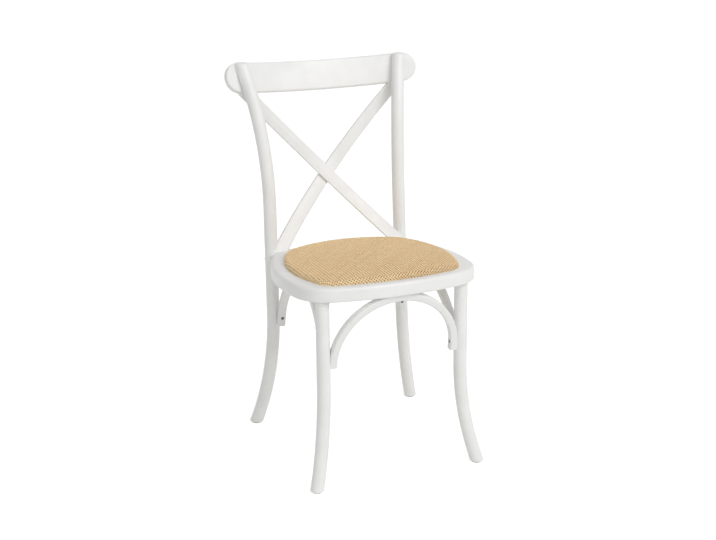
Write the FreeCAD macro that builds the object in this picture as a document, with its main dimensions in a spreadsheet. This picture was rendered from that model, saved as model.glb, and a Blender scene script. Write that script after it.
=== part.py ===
import FreeCAD, Part
import math
import os
import Sketcher
from FreeCAD import Placement, Rotation, Vector

# Cross back dining chair. Millimetres, +Z up, backrest towards +Y, the sitter's left hand towards -X as seen
# from the front. The origin lies on the floor under the middle of the chair's outline.
# Places along Y are counted from the point midway between the four feet, which lies in front of the origin.

SIZES = [
    ("feet_middle_y", -64.08, "origin to the point midway between the feet, along Y"),
    ("pole_diameter", 31.0, "round stock of the legs and posts"),
    ("front_leg_x", 168.0, "front leg at seat height, from the middle plane"),
    ("front_leg_y", 147.0, "front leg at seat height, in front of the feet's middle"),
    ("front_leg_lean", 2.5, "degrees that the front legs lean back as they rise"),
    ("front_foot_x", 200.6, "front foot centre from the middle plane"),
    ("front_foot_y", 197.8, "front foot centre in front of the feet's middle"),
    ("front_bend_height", 239.0, "height where the front legs start to sweep out"),
    ("rear_post_x", 168.0, "rear post at seat height, from the middle plane"),
    ("rear_post_y", 189.3, "rear post at seat height, behind the feet's middle"),
    ("rear_post_lean", 4.5, "degrees that the rear posts lean back"),
    ("rear_post_toe", 0.6, "degrees that the rear posts lean in as they rise"),
    ("rear_foot_x", 211.1, "rear foot centre from the middle plane"),
    ("rear_foot_y", 199.0, "rear foot centre behind the feet's middle"),
    ("rear_bend_height", 288.0, "height where the rear legs start to sweep out"),
    ("post_bend_height", 92.3, "height above the seat where the posts start to sweep back"),
    ("post_top_x", 202.8, "post top centre from the middle plane"),
    ("post_top_y", 290.0, "post top centre behind the feet's middle"),
    ("post_top_height", 882.0, "post top centre above the floor"),
    ("post_top_round", 5.0, "rounding of the post tops"),
    ("seat_height", 455.7, "top of the seat ring above the feet's middle"),
    ("seat_tilt", 3.7, "degrees that the seat falls towards the back"),
    ("seat_half_width", 223.0, "widest half width of the seat ring"),
    ("seat_widest_y", -37.0, "place of the widest line of the seat ring"),
    ("seat_front", 198.0, "seat ring in front of the feet's middle"),
    ("seat_back", 203.0, "seat ring behind the feet's middle"),
    ("seat_front_corner", 90.0, "radius of the ring's front corners"),
    ("seat_rear_corner", 50.0, "radius of the ring's rear corners"),
    ("seat_side_bow", 430.0, "radius of the ring's sides"),
    ("seat_front_bow", 664.0, "radius of the ring's front edge"),
    ("seat_end_bow", 900.0, "radius of the ring's rear edge"),
    ("ring_thickness", 32.0, "thickness of the seat ring"),
    ("ring_width", 80.0, "width of the seat ring's wood"),
    ("ring_opening_corner", 40.0, "corner radius of the opening in the ring"),
    ("ring_top_round", 8.0, "rounding of the ring's upper outer edge"),
    ("ring_bottom_round", 4.0, "rounding of the ring's lower outer edge"),
    ("rear_width_extra", 12.0, "further width of the ring's wood behind the seat board"),
    ("pad_half_width", 189.0, "widest half width of the woven pad"),
    ("pad_widest_y", -22.0, "place of the widest line of the woven pad"),
    ("pad_front", 175.0, "woven pad in front of the feet's middle"),
    ("pad_back", 181.0, "woven pad behind the feet's middle"),
    ("pad_front_corner", 46.0, "radius of the pad's front corners"),
    ("pad_rear_corner", 84.0, "radius of the pad's rear corners"),
    ("pad_side_bow", 312.0, "radius of the pad's sides"),
    ("pad_front_bow", 590.0, "radius of the pad's front edge"),
    ("pad_rear_bow", 254.0, "radius of the pad's rear edge"),
    ("rebate_depth", 12.0, "depth of the rebate that holds the seat board"),
    ("board_thickness", 9.0, "plywood seat board"),
    ("board_clearance", 1.0, "gap between the board or pad and the rebate wall"),
    ("pad_edge_height", 12.0, "top of the woven pad above the ring at its front and rear"),
    ("pad_crown", 5.0, "rise of the woven pad from its edge to its middle"),
    ("pad_edge_round", 8.0, "rounding of the pad's upper edge"),
    ("cane_thickness", 2.0, "woven cane cover"),
    ("soft_clearance", 0.3, "gap around the padding under the cover"),
    ("tenon_diameter", 22.0, "round tenon on top of a front leg"),
    ("tenon_length", 15.0, "tenon inside the ring"),
    ("bead_height", 7.0, "turned bead at the top of a front leg"),
    ("bead_rise", 1.2, "bead beyond the leg's surface"),
    ("bead_drop", 3.0, "plain leg between the ring and the bead"),
    ("brace_radius", 138.0, "inner radius of the front brace"),
    ("brace_thickness", 18.0, "bentwood brace, radial"),
    ("brace_width", 18.0, "bentwood brace, along its axis"),
    ("brace_round", 4.0, "rounding of the braces' edges"),
    ("brace_tail", 9.0, "straight run at the braces' lower ends"),
    ("brace_flat", 3.5, "crown of a brace cut flat where it meets the ring"),
    ("front_brace_lean", 12.0, "degrees that the front brace leans forward of the front legs"),
    ("side_brace_radius", 133.5, "inner radius of the side braces"),
    ("side_brace_front_x", 165.0, "side brace at its front end, from the middle plane"),
    ("side_brace_rear_x", 159.0, "side brace at its rear end, from the middle plane"),
    ("side_brace_y", 9.5, "middle of the side braces behind the feet's middle"),
    ("side_brace_lean", 4.1, "degrees that the side braces lean in as they rise"),
    ("rail_half_length", 243.0, "half length of the top rail"),
    ("rail_height", 71.0, "height of the top rail along its face"),
    ("rail_thickness", 20.0, "thickness of the top rail"),
    ("rail_bow", 45.0, "depth of the rail's backward bow"),
    ("rail_lean", 20.0, "degrees that the rail leans back"),
    ("rail_end_y", -9.0, "rail ends, upper front edge, behind the post tops' centres"),
    ("rail_top", 3.0, "rail ends, upper front edge above the post tops' centres"),
    ("rail_round", 4.0, "rounding of the rail's edges"),
    ("slat_width", 30.0, "width of a cross slat"),
    ("slat_thickness", 8.0, "thickness of a cross slat"),
    ("slat_bow", 32.4, "backward bow of the slats' meeting face"),
    ("slat_top_x", -9.8, "slat under the rail, outside the post tops' centres"),
    ("slat_top_y", -7.0, "slat under the rail, behind the post tops' centres"),
    ("slat_top_height", -74.0, "slat under the rail, above the post tops' centres"),
    ("slat_foot_x", -18.0, "slat on the ring, outside the rear posts at seat height"),
    ("slat_foot_y", -17.9, "slat on the ring, behind the rear posts at seat height"),
    ("slat_round", 2.5, "rounding of the slats' edges"),
    ("slat_tenon", 8.0, "slat ends let into the rail and the ring"),
    ("slat_spare", 40.0, "slat stock beyond its end points, trimmed to fit"),
    ("screw_head_diameter", 8.0, "countersunk screw head"),
    ("screw_shank_diameter", 4.0, "screw shank"),
    ("screw_head_height", 2.6, "countersunk screw head"),
    ("screw_tip_length", 5.0, "screw tip"),
    ("recess_length", 4.4, "cross recess in a screw head"),
    ("recess_width", 1.0, "cross recess in a screw head"),
    ("recess_depth", 1.2, "cross recess in a screw head"),
    ("brace_screw_length", 30.0, "screws of the braces"),
    ("rail_screw_length", 26.0, "screws of the rail"),
    ("rail_screw_inset", 20.0, "rail screws from the rail's long edges"),
    ("crossing_screw_length", 13.0, "screw at the slats' crossing"),
    ("board_screw_x", 90.0, "seat board screws from the middle plane"),
    ("board_screw_length", 25.0, "screws of the seat board"),
    ("brace_screw_height", 20.0, "brace screws above the brace's end"),
    ("brace_screw_sink", 1.5, "brace screw heads below the surface"),
    ("bolt_diameter", 6.0, "bolts that hold the rear posts"),
    ("bolt_length", 52.0, "bolt from under its head"),
    ("bolt_head_diameter", 13.0, "domed bolt head"),
    ("bolt_head_height", 3.6, "domed bolt head"),
    ("bolt_depth", 20.0, "bolt axis below the ring's top"),
    ("washer_diameter", 15.0, "washer of a bolt"),
    ("washer_thickness", 1.5, "washer of a bolt"),
    ("washer_clearance", 0.5, "spot face around a washer"),
    ("barrel_diameter", 10.0, "barrel nut in the ring"),
    ("barrel_length", 14.0, "barrel nut in the ring"),
    ("barrel_setback", 8.0, "barrel nut's axis from the bolt's end"),
    ("glide_diameter", 25.0, "foot glide"),
    ("glide_thickness", 4.0, "foot glide"),
    ("glide_round", 1.2, "rounding of a glide's lower edge"),
    ("nail_diameter", 2.4, "nail of a glide"),
    ("nail_head_diameter", 6.0, "nail head sunk in a glide"),
    ("nail_head_height", 1.0, "nail head sunk in a glide"),
    ("nail_sink", 0.8, "nail head above the glide's lower face"),
    ("nail_length", 20.0, "nail of a glide"),
]

doc = FreeCAD.newDocument("cross_back_chair")
sheet = doc.addObject("Spreadsheet::Sheet", "Sizes")
for line, (alias, value, meaning) in enumerate(SIZES, 1):
    sheet.set(f"A{line}", meaning)
    sheet.set(f"B{line}", str(value))
    sheet.setAlias(f"B{line}", alias)
doc.recompute()

LEFT = -1
RIGHT = 1
SIDE_NAMES = {LEFT: "left", RIGHT: "right"}
nodes = {}


def size(alias):
    """Driving dimension as a number."""
    return float(sheet.get(alias))


def depth(y):
    """Place along Y, from a place counted from the feet's middle."""
    return size("feet_middle_y") + y


def unit(vector):
    """Copy of a vector at length one."""
    copy = Vector(vector)
    copy.normalize()
    return copy


def frame_at(origin, z_axis, x_hint):
    """Placement whose Z axis is given and whose X axis lies towards a hint."""
    z = unit(z_axis)
    x = unit(x_hint - z * x_hint.dot(z))
    return Placement(origin, Rotation(x, z.cross(x), z, "ZXY"))


def keep(name, item):
    """Registers an object as a finished piece."""
    item.Label = name
    nodes[name] = item
    return item


def plane_of(body, role):
    """Origin plane of a body."""
    return [item for item in body.Origin.OriginFeatures if item.Role == role][0]


def new_body(name, placement):
    """Empty body at a place."""
    body = doc.addObject("PartDesign::Body", name)
    body.Placement = placement
    return body


def new_sketch(body, name, role, offset=None):
    """Sketch on one of the body's own origin planes."""
    sketch = body.newObject("Sketcher::SketchObject", name)
    sketch.AttachmentSupport = (plane_of(body, role), [""])
    sketch.MapMode = "FlatFace"
    if offset is not None:
        sketch.AttachmentOffset = offset
    return sketch


def circle_sketch(body, name, role, expression, offset=None):
    """Sketch of one circle round the origin, with its radius bound to the sheet."""
    sketch = new_sketch(body, name, role, offset)
    sketch.addGeometry(Part.Circle(Vector(), Vector(0, 0, 1), 10.0), False)
    sketch.addConstraint(Sketcher.Constraint("Coincident", 0, 3, -1, 1))
    sketch.addConstraint(Sketcher.Constraint("Radius", 0, 10.0))
    sketch.renameConstraint(1, "outline_radius")
    sketch.setExpression("Constraints.outline_radius", expression)
    return sketch


def cut(name, base, tools):
    """Base less every tool, as booleans of the document."""
    result = base
    for step, tool in enumerate(tools, 1):
        previous = result
        result = doc.addObject("Part::Cut", f"{name}_cut_{step}")
        result.Base = previous
        result.Tool = tool
        result.Refine = False
    return result


def pair(name, items):
    """Objects that stand clear of each other, as one compound."""
    both = doc.addObject("Part::Compound", name)
    both.Links = items
    return both


def fuse(name, parts):
    """Several shapes as one, as a boolean of the document."""
    result = doc.addObject("Part::MultiFuse", name + "_fuse")
    result.Shapes = parts
    return result


def seat_placement():
    """Plane of the ring's top: X across, Y back along the seat, Z out of it."""
    origin = Vector(0, depth(0), size("seat_height"))
    return Placement(origin, Rotation(Vector(1, 0, 0), -size("seat_tilt")))


def on_seat(x, y, z):
    """Point given in the seat's plane, in the chair's frame."""
    return seat_placement().multVec(Vector(x, y, z))


def corner_arc(first, second, radius):
    """Corner circle inside two large circles: its centre and the points where it meets them."""
    (c1, r1), (c2, r2) = first, second
    a = r1 - radius
    b = r2 - radius
    gap = c2 - c1
    reach = gap.Length
    along = (a * a - b * b + reach * reach) / (2 * reach)
    rise = math.sqrt(a * a - along * along)
    axis = unit(gap)
    foot = c1 + axis * along
    side = Vector(-axis.y, axis.x, 0)
    options = [foot + side * rise, foot - side * rise]
    centre = max(options, key=lambda p: p.x)
    return centre, c1 + unit(centre - c1) * r1, c2 + unit(centre - c2) * r2


def rounded_outline(piece, inset, rear_inset, front_corner, rear_corner):
    """Edges of the outline of the seat or the pad, moved in, in the seat's plane."""
    front_bow = size(piece + "_front_bow")
    rear_bow = size("seat_end_bow" if piece == "seat" else "pad_rear_bow")
    side_bow = size(piece + "_side_bow")
    front = (Vector(0, front_bow - size(piece + "_front"), 0), front_bow - inset)
    back = (Vector(0, size(piece + "_back") - rear_bow, 0), rear_bow - rear_inset)
    widest = size(piece + "_widest_y")
    side = (Vector(size(piece + "_half_width") - side_bow, widest, 0), side_bow - inset)
    centre_f, front_f, side_f = corner_arc(front, side, front_corner)
    centre_b, back_b, side_b = corner_arc(back, side, rear_corner)
    diagonal_f = centre_f + unit(unit(front_f - centre_f) + unit(side_f - centre_f)) * front_corner
    diagonal_b = centre_b + unit(unit(back_b - centre_b) + unit(side_b - centre_b)) * rear_corner
    side_middle = side[0] + unit((side_f + side_b) * 0.5 - side[0]) * side[1]
    front_middle = Vector(0, inset - size(piece + "_front"), 0)
    back_middle = Vector(0, size(piece + "_back") - rear_inset, 0)

    def flip(p):
        return Vector(-p.x, p.y, 0)

    runs = [
        (flip(front_f), front_middle, front_f),
        (front_f, diagonal_f, side_f),
        (side_f, side_middle, side_b),
        (side_b, diagonal_b, back_b),
        (back_b, back_middle, flip(back_b)),
        (flip(back_b), flip(diagonal_b), flip(side_b)),
        (flip(side_b), flip(side_middle), flip(side_f)),
        (flip(side_f), flip(diagonal_f), flip(front_f)),
    ]
    return [Part.Arc(*run) for run in runs]


def outline_sketch(body, name, outlines):
    """Sketch on the body's XY plane that holds closed outlines."""
    sketch = new_sketch(body, name, "XY_Plane")
    for edges in outlines:
        sketch.addGeometry(edges, False)
    return sketch


def inset_outline(piece, inset):
    """Outline of the seat or the pad moved in, with its corners tightened to match."""
    front = size(piece + "_front_corner") - inset
    rear = size(piece + "_rear_corner") - inset
    return rounded_outline(piece, inset, inset, front, rear)


def edges_where(shape, test):
    """Names of a shape's edges that pass a test of their middle point."""
    names = []
    for number, edge in enumerate(shape.Edges, 1):
        if test(edge):
            names.append(f"Edge{number}")
    return names


def round_edges(body, name, base, test, expression):
    """Fillet on the edges of a body's feature that pass a test."""
    doc.recompute()
    names = edges_where(base.Shape, test)
    fillet = body.newObject("PartDesign::Fillet", name)
    fillet.Base = (base, names)
    fillet.setExpression("Radius", expression)
    return fillet


def lies_at(edge, z):
    """Whether a whole edge lies at one height of its body."""
    box = edge.BoundBox
    return abs(box.ZMin - z) < 0.01 and abs(box.ZMax - z) < 0.01


def pole_bend(start, direction, end):
    """Radius, angle and side direction of the bend from start to end."""
    d = unit(direction)
    run = end - start
    along = run.dot(d)
    side = run - d * along
    radius = (along * along + side.Length * side.Length) / (2 * side.Length)
    return radius, math.atan2(along, radius - side.Length), unit(side)


def bent_pole(name, start, direction, foot, top=None, run=0.0):
    """Round pole: a straight run, a bend down to the foot and, if top is given, a bend up to it."""
    spare = size("pole_diameter") / 2
    radius, turn, side = pole_bend(start, direction * -1, foot)
    place = frame_at(start, direction, side)
    body = new_body(name, place)
    section = circle_sketch(body, name + "_section", "XY_Plane", "Sizes.pole_diameter / 2")
    lower = new_sketch(body, name + "_lower_line", "XZ_Plane")
    circle = Part.Circle(Vector(radius, 0, 0), Vector(0, 0, 1), radius)
    lower.addGeometry(Part.ArcOfCircle(circle, math.pi, math.pi + turn + spare / radius), False)
    low = body.newObject("PartDesign::AdditivePipe", name + "_lower")
    low.Profile = section
    low.Spine = (lower, ["Edge1"])
    upper = new_sketch(body, name + "_upper_line", "XZ_Plane")
    upper.addGeometry(Part.LineSegment(Vector(0, 0, 0), Vector(0, run, 0)), False)
    spine = ["Edge1"]
    if top is not None:
        radius, turn, side = pole_bend(start + unit(direction) * run, direction, top)
        local = place.Rotation.inverted().multVec(side)
        angle = math.degrees(math.atan2(local.y, local.x))
        upper.AttachmentOffset = Placement(Vector(), Rotation(Vector(0, 1, 0), angle))
        circle = Part.Circle(Vector(radius, run, 0), Vector(0, 0, 1), radius)
        upper.addGeometry(Part.ArcOfCircle(circle, math.pi - turn - spare / radius, math.pi), False)
        spine.append("Edge2")
    high = body.newObject("PartDesign::AdditivePipe", name + "_upper")
    high.Profile = section
    high.Spine = (upper, spine)
    return body


def floor_block():
    """Block under the feet that trims the poles level on their glides."""
    block = doc.addObject("Part::Box", "floor_block")
    reach = 2 * size("rear_foot_x") + 4 * size("pole_diameter")
    block.Length = reach
    block.Width = 2 * reach
    block.Height = size("pole_diameter") * 2
    block.Placement = Placement(Vector(-reach / 2, -reach, 0), Rotation())
    block.setExpression("Placement.Base.z", "Sizes.glide_thickness - 2 * Sizes.pole_diameter")
    return block


def front_leg_line(side):
    """Point at seat height and direction of a front leg's straight run."""
    slope = math.tan(math.radians(size("front_leg_lean")))
    return Vector(side * size("front_leg_x"), depth(-size("front_leg_y")), size("seat_height")), Vector(0, slope, 1)


def rear_post_line(side):
    """Point at seat height and direction of a rear post's straight run."""
    back = math.tan(math.radians(size("rear_post_lean")))
    inward = math.tan(math.radians(size("rear_post_toe")))
    point = Vector(side * size("rear_post_x"), depth(size("rear_post_y")), size("seat_height"))
    return point, Vector(-side * inward, back, 1)


def at_height(line, z):
    """Point of a line at a height."""
    point, direction = line
    return point + direction * ((z - point.z) / direction.z)


def leg_shoulder(side):
    """Place on the ring's underside where a front leg's axis meets it."""
    line = front_leg_line(side)
    normal = seat_placement().Rotation.multVec(Vector(0, 0, 1))
    under = on_seat(0, 0, -size("ring_thickness"))
    reach = normal.dot(under - line[0]) / normal.dot(line[1])
    return line[0] + line[1] * reach


def leg_bead(name, body, shoulder_height):
    """Turned bead round the top of a front leg."""
    sketch = new_sketch(body, name + "_bead_outline", "XZ_Plane")
    radius = size("pole_diameter") / 2
    half = size("bead_height") / 2
    middle = shoulder_height - size("bead_drop") - half
    inside = Vector(radius / 2, middle, 0)
    low = Vector(radius, middle - half, 0)
    high = Vector(radius, middle + half, 0)
    sketch.addGeometry(Part.Arc(low, Vector(radius + size("bead_rise"), middle, 0), high), False)
    sketch.addGeometry(Part.LineSegment(high, inside), False)
    sketch.addGeometry(Part.LineSegment(inside, low), False)
    bead = body.newObject("PartDesign::Revolution", name + "_bead")
    bead.Profile = sketch
    bead.ReferenceAxis = (sketch, ["V_Axis"])
    bead.Angle = 360.0
    return bead


def front_leg(side, floor, ring):
    """Front leg, trimmed under the ring, with its tenon."""
    name = f"front_leg_{SIDE_NAMES[side]}"
    line = front_leg_line(side)
    start = at_height(line, size("front_bend_height"))
    foot = Vector(side * size("front_foot_x"), depth(-size("front_foot_y")), 0)
    shoulder = leg_shoulder(side)
    run = (shoulder - start).Length
    pole = bent_pole(name + "_pole", start, line[1], foot, run=run + size("ring_thickness") / 4)
    leg_bead(name, pole, run)
    trimmed = cut(name + "_trim", pole, [floor, ring])
    tenon = doc.addObject("Part::Cylinder", name + "_tenon")
    tenon.setExpression("Radius", "Sizes.tenon_diameter / 2")
    tenon.setExpression("Height", "Sizes.tenon_length + Sizes.bead_drop")
    up = seat_placement().Rotation
    tenon.Placement = Placement(shoulder - up.multVec(Vector(0, 0, size("bead_drop"))), up)
    return fuse(name + "_whole", [trimmed, tenon]), tenon


def post_top(side):
    """Centre of a rear post's top."""
    return Vector(side * size("post_top_x"), depth(size("post_top_y")), size("post_top_height"))


def post_bend_level():
    """Height where the posts start to sweep back."""
    return size("seat_height") + size("post_bend_height")


def rear_post(side, floor, above_posts):
    """Rear leg and back post in one bent pole: as bent, and cut level at the floor and the rail's upper edge."""
    name = f"rear_post_{SIDE_NAMES[side]}"
    line = rear_post_line(side)
    start = at_height(line, size("rear_bend_height"))
    bend = at_height(line, post_bend_level())
    foot = Vector(side * size("rear_foot_x"), depth(size("rear_foot_y")), 0)
    pole = bent_pole(name + "_pole", start, line[1], foot, post_top(side), (bend - start).Length)
    level = cut(name + "_level", pole, [floor, above_posts])
    doc.recompute()
    radius = size("post_top_round")
    rounded = doc.addObject("Part::Fillet", name + "_stock")
    rounded.Base = level
    reach = size("pole_diameter")

    def at_top(edge):
        centre = edge.BoundBox.Center
        return (centre - post_top(side)).Length < reach / 2 and edge.Length > reach

    rounded.Edges = [(n, radius, radius) for n, e in enumerate(level.Shape.Edges, 1) if at_top(e)]
    return pole, rounded


def rail_slab(name, place, z):
    """Wide block above a level of a frame at the rail."""
    slab = doc.addObject("Part::Box", name)
    reach = 2 * size("rail_half_length")
    slab.Length = 2 * reach
    slab.Width = 2 * reach
    slab.Height = size("rail_height") * 2
    slab.Placement = place.multiply(Placement(Vector(-reach, -reach, z), Rotation()))
    return slab


def rail_edge_at_posts():
    """Point of the rail's upper front edge in front of a post's top."""
    x = size("post_top_x")
    return rail_placement().multVec(Vector(x, rail_face_y(x), 0))


def ring_stock():
    """Seat ring with its rebate, before it is notched and drilled."""
    body = new_body("ring_stock", seat_placement())
    corner = size("ring_opening_corner")
    width = size("ring_width")
    opening = rounded_outline("seat", width, width + size("rear_width_extra"), corner, corner)
    pad = body.newObject("PartDesign::Pad", "ring_pad")
    pad.Profile = outline_sketch(body, "ring_outline", [inset_outline("seat", 0), opening])
    pad.Reversed = True
    pad.setExpression("Length", "Sizes.ring_thickness")
    rebate = body.newObject("PartDesign::Pocket", "ring_rebate")
    rebate.Profile = outline_sketch(body, "rebate_outline", [inset_outline("pad", -size("board_clearance"))])
    rebate.setExpression("Length", "Sizes.rebate_depth")
    inside = inset_outline("seat", size("ring_top_round") + size("board_clearance"))
    middle = Part.Face(Part.Wire([arc.toShape() for arc in inside]))

    def outside(edge):
        point = edge.valueAt((edge.FirstParameter + edge.LastParameter) / 2)
        return not middle.isInside(Vector(point.x, point.y, 0), 0.01, True)

    level = -size("ring_thickness")
    top = round_edges(
        body, "ring_top_edge", rebate, lambda e: lies_at(e, 0) and outside(e), "Sizes.ring_top_round")
    bottom = round_edges(
        body, "ring_bottom_edge", top, lambda e: lies_at(e, level) and outside(e), "Sizes.ring_bottom_round")
    body.Tip = bottom
    return body


def seat_slab(name, top, expression):
    """Wide block in the seat's plane; its upper or lower face lies where the expression says."""
    slab = doc.addObject("Part::Box", name)
    reach = 2 * size("seat_half_width")
    slab.Length = 2 * reach
    slab.Width = 2 * reach
    slab.Height = reach
    drop = reach if top else 0
    slab.Placement = seat_placement().multiply(Placement(Vector(-reach, -reach, expression - drop), Rotation()))
    return slab


def half_ring(name, placement, inner):
    """Bentwood half ring that stands on two short straight ends, its axis along its own Y."""
    outer = inner + size("brace_thickness")
    tail = size("brace_tail")
    body = new_body(name, placement)
    sketch = new_sketch(body, name + "_outline", "XZ_Plane")
    for radius in (inner, outer):
        circle = Part.Circle(Vector(0, tail, 0), Vector(0, 0, 1), radius)
        sketch.addGeometry(Part.ArcOfCircle(circle, 0, math.pi), False)
    for side in (LEFT, RIGHT):
        corners = [Vector(side * inner, tail, 0), Vector(side * inner, 0, 0),
                   Vector(side * outer, 0, 0), Vector(side * outer, tail, 0)]
        for start, end in zip(corners, corners[1:]):
            sketch.addGeometry(Part.LineSegment(start, end), False)
    pad = body.newObject("PartDesign::Pad", name + "_pad")
    pad.Profile = sketch
    pad.Midplane = True
    pad.setExpression("Length", "Sizes.brace_width")
    span = 2 * inner
    rounded = round_edges(
        body, name + "_round", pad,
        lambda e: e.BoundBox.XLength > span - 1 and e.BoundBox.YLength < 1, "Sizes.brace_round",
    )
    body.Tip = rounded
    return body


def brace_height(inner):
    """From a brace's lower ends to the ring, along its own plane."""
    return inner + size("brace_thickness") + size("brace_tail") - size("brace_flat")


def under_ring_from(point, direction, offset):
    """Point moved along a direction until, with an offset added, it lies on the ring's underside."""
    normal = seat_placement().Rotation.multVec(Vector(0, 0, 1))
    gap = on_seat(0, 0, -size("ring_thickness")) - point - offset
    return point + direction * (normal.dot(gap) / normal.dot(direction))


def front_brace_placement():
    """Middle of the front brace's lower ends: they lie on the front legs, the crown under the ring's front."""
    start, direction = front_leg_line(RIGHT)
    turn = Rotation(Vector(1, 0, 0), size("front_brace_lean") - size("front_leg_lean"))
    rise = turn.multVec(Vector(0, 0, brace_height(size("brace_radius"))))
    return Placement(under_ring_from(Vector(0, start.y, start.z), direction, rise), turn)


def side_brace_placement(side):
    """Middle of a side brace's lower ends: they are level and toe in to the rear, the crown leans in."""
    run = Vector(side * (size("side_brace_rear_x") - size("side_brace_front_x")), 2 * size("side_brace_radius"), 0)
    lean = math.radians(size("side_brace_lean"))
    up = Vector(-side * math.sin(lean), 0, math.cos(lean))
    x = side * (size("side_brace_front_x") + size("side_brace_rear_x")) / 2
    rise = up * brace_height(size("side_brace_radius"))
    base = under_ring_from(Vector(x, depth(size("side_brace_y")), 0), Vector(0, 0, 1), rise)
    return frame_at(base, up, run)


def rail_placement():
    """Middle of the rail's upper front edge line through its ends: Y back, Z up along the face."""
    y = size("post_top_y") + size("rail_end_y")
    z = size("post_top_height") + size("rail_top")
    return Placement(Vector(0, depth(y), z), Rotation(Vector(1, 0, 0), -size("rail_lean")))


def rail_front_radius():
    """Radius of the rail's bowed front face."""
    half = size("rail_half_length")
    bow = size("rail_bow")
    return (half * half + bow * bow) / (2 * bow)


def rail_face_y(x):
    """Rail's front face in the rail's own frame, at a distance from the middle plane."""
    radius = rail_front_radius()
    return size("rail_bow") - radius + math.sqrt(radius * radius - x * x)


def rail_stock():
    """Top rail: a bowed plank with half round ends."""
    place = rail_placement()
    half = size("rail_half_length")
    height = size("rail_height")
    thick = size("rail_thickness")
    bow = size("rail_bow")
    reach = rail_front_radius() + thick
    centre = Vector(0, bow - rail_front_radius(), 0)
    plan = new_body("rail_plan", place)
    band = new_sketch(plan, "rail_band", "XY_Plane")
    tip = half / rail_front_radius()
    swing = math.asin(tip)
    inner = [centre + Vector(s * math.sin(swing), math.cos(swing), 0) * rail_front_radius() for s in (-1, 1)]
    outer = [centre + Vector(s * math.sin(swing), math.cos(swing), 0) * reach for s in (-1, 1)]
    band.addGeometry(Part.Arc(inner[0], Vector(0, bow, 0), inner[1]), False)
    band.addGeometry(Part.LineSegment(inner[1], outer[1]), False)
    band.addGeometry(Part.Arc(outer[1], Vector(0, bow + thick, 0), outer[0]), False)
    band.addGeometry(Part.LineSegment(outer[0], inner[0]), False)
    plank = plan.newObject("PartDesign::Pad", "rail_plank")
    plank.Profile = band
    plank.Reversed = True
    plank.setExpression("Length", "Sizes.rail_height")
    front = new_body("rail_elevation", place)
    face = new_sketch(front, "rail_face", "XZ_Plane")
    end = half - height / 2
    face.addGeometry(Part.LineSegment(Vector(-end, 0, 0), Vector(end, 0, 0)), False)
    face.addGeometry(Part.Arc(Vector(end, 0, 0), Vector(half, -height / 2, 0), Vector(end, -height, 0)), False)
    face.addGeometry(Part.LineSegment(Vector(end, -height, 0), Vector(-end, -height, 0)), False)
    face.addGeometry(Part.Arc(Vector(-end, -height, 0), Vector(-half, -height / 2, 0), Vector(-end, 0, 0)), False)
    block = front.newObject("PartDesign::Pad", "rail_block")
    block.Profile = face
    block.Midplane = True
    block.setExpression("Length", "4 * (Sizes.rail_bow + Sizes.rail_thickness)")
    common = doc.addObject("Part::Common", "rail_common")
    common.Base = plan
    common.Tool = front
    doc.recompute()
    fillet = doc.addObject("Part::Fillet", "rail_stock")
    fillet.Base = common
    radius = size("rail_round")
    fillet.Edges = [(n, radius, radius) for n, e in enumerate(common.Shape.Edges, 1) if e.Length > 2 * thick]
    return fillet


def slat_spread():
    """Slats' distance from the middle plane at the rail and at the ring."""
    return size("post_top_x") + size("slat_top_x"), size("rear_post_x") + size("slat_foot_x")


def slat_arc():
    """Meeting face of the slats in the chair's Y and Z: centre, radius and its two end angles."""
    top = Vector(0, size("post_top_y") + size("slat_top_y"), size("post_top_height") + size("slat_top_height"))
    foot_y = size("rear_post_y") + size("slat_foot_y")
    foot = Vector(0, foot_y, size("seat_height") - foot_y * math.tan(math.radians(size("seat_tilt"))))
    chord = top - foot
    back = unit(Vector(0, chord.z, -chord.y))
    half = chord.Length / 2
    bow = size("slat_bow")
    radius = (half * half + bow * bow) / (2 * bow)
    centre = (top + foot) * 0.5 + back * (bow - radius)
    angles = [math.atan2(p.z - centre.z, p.y - centre.y) for p in (foot, top)]
    return centre, radius, angles, foot, top


def slat_point(z, off):
    """Point on the middle plane and outward normal at a height, off the slats' meeting face."""
    centre, radius, _, _, _ = slat_arc()
    reach = radius + off
    angle = math.asin((z - centre.z) / reach)
    normal = Vector(0, math.cos(angle), math.sin(angle))
    point = centre + normal * reach
    return Vector(0, depth(point.y), point.z), normal


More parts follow.
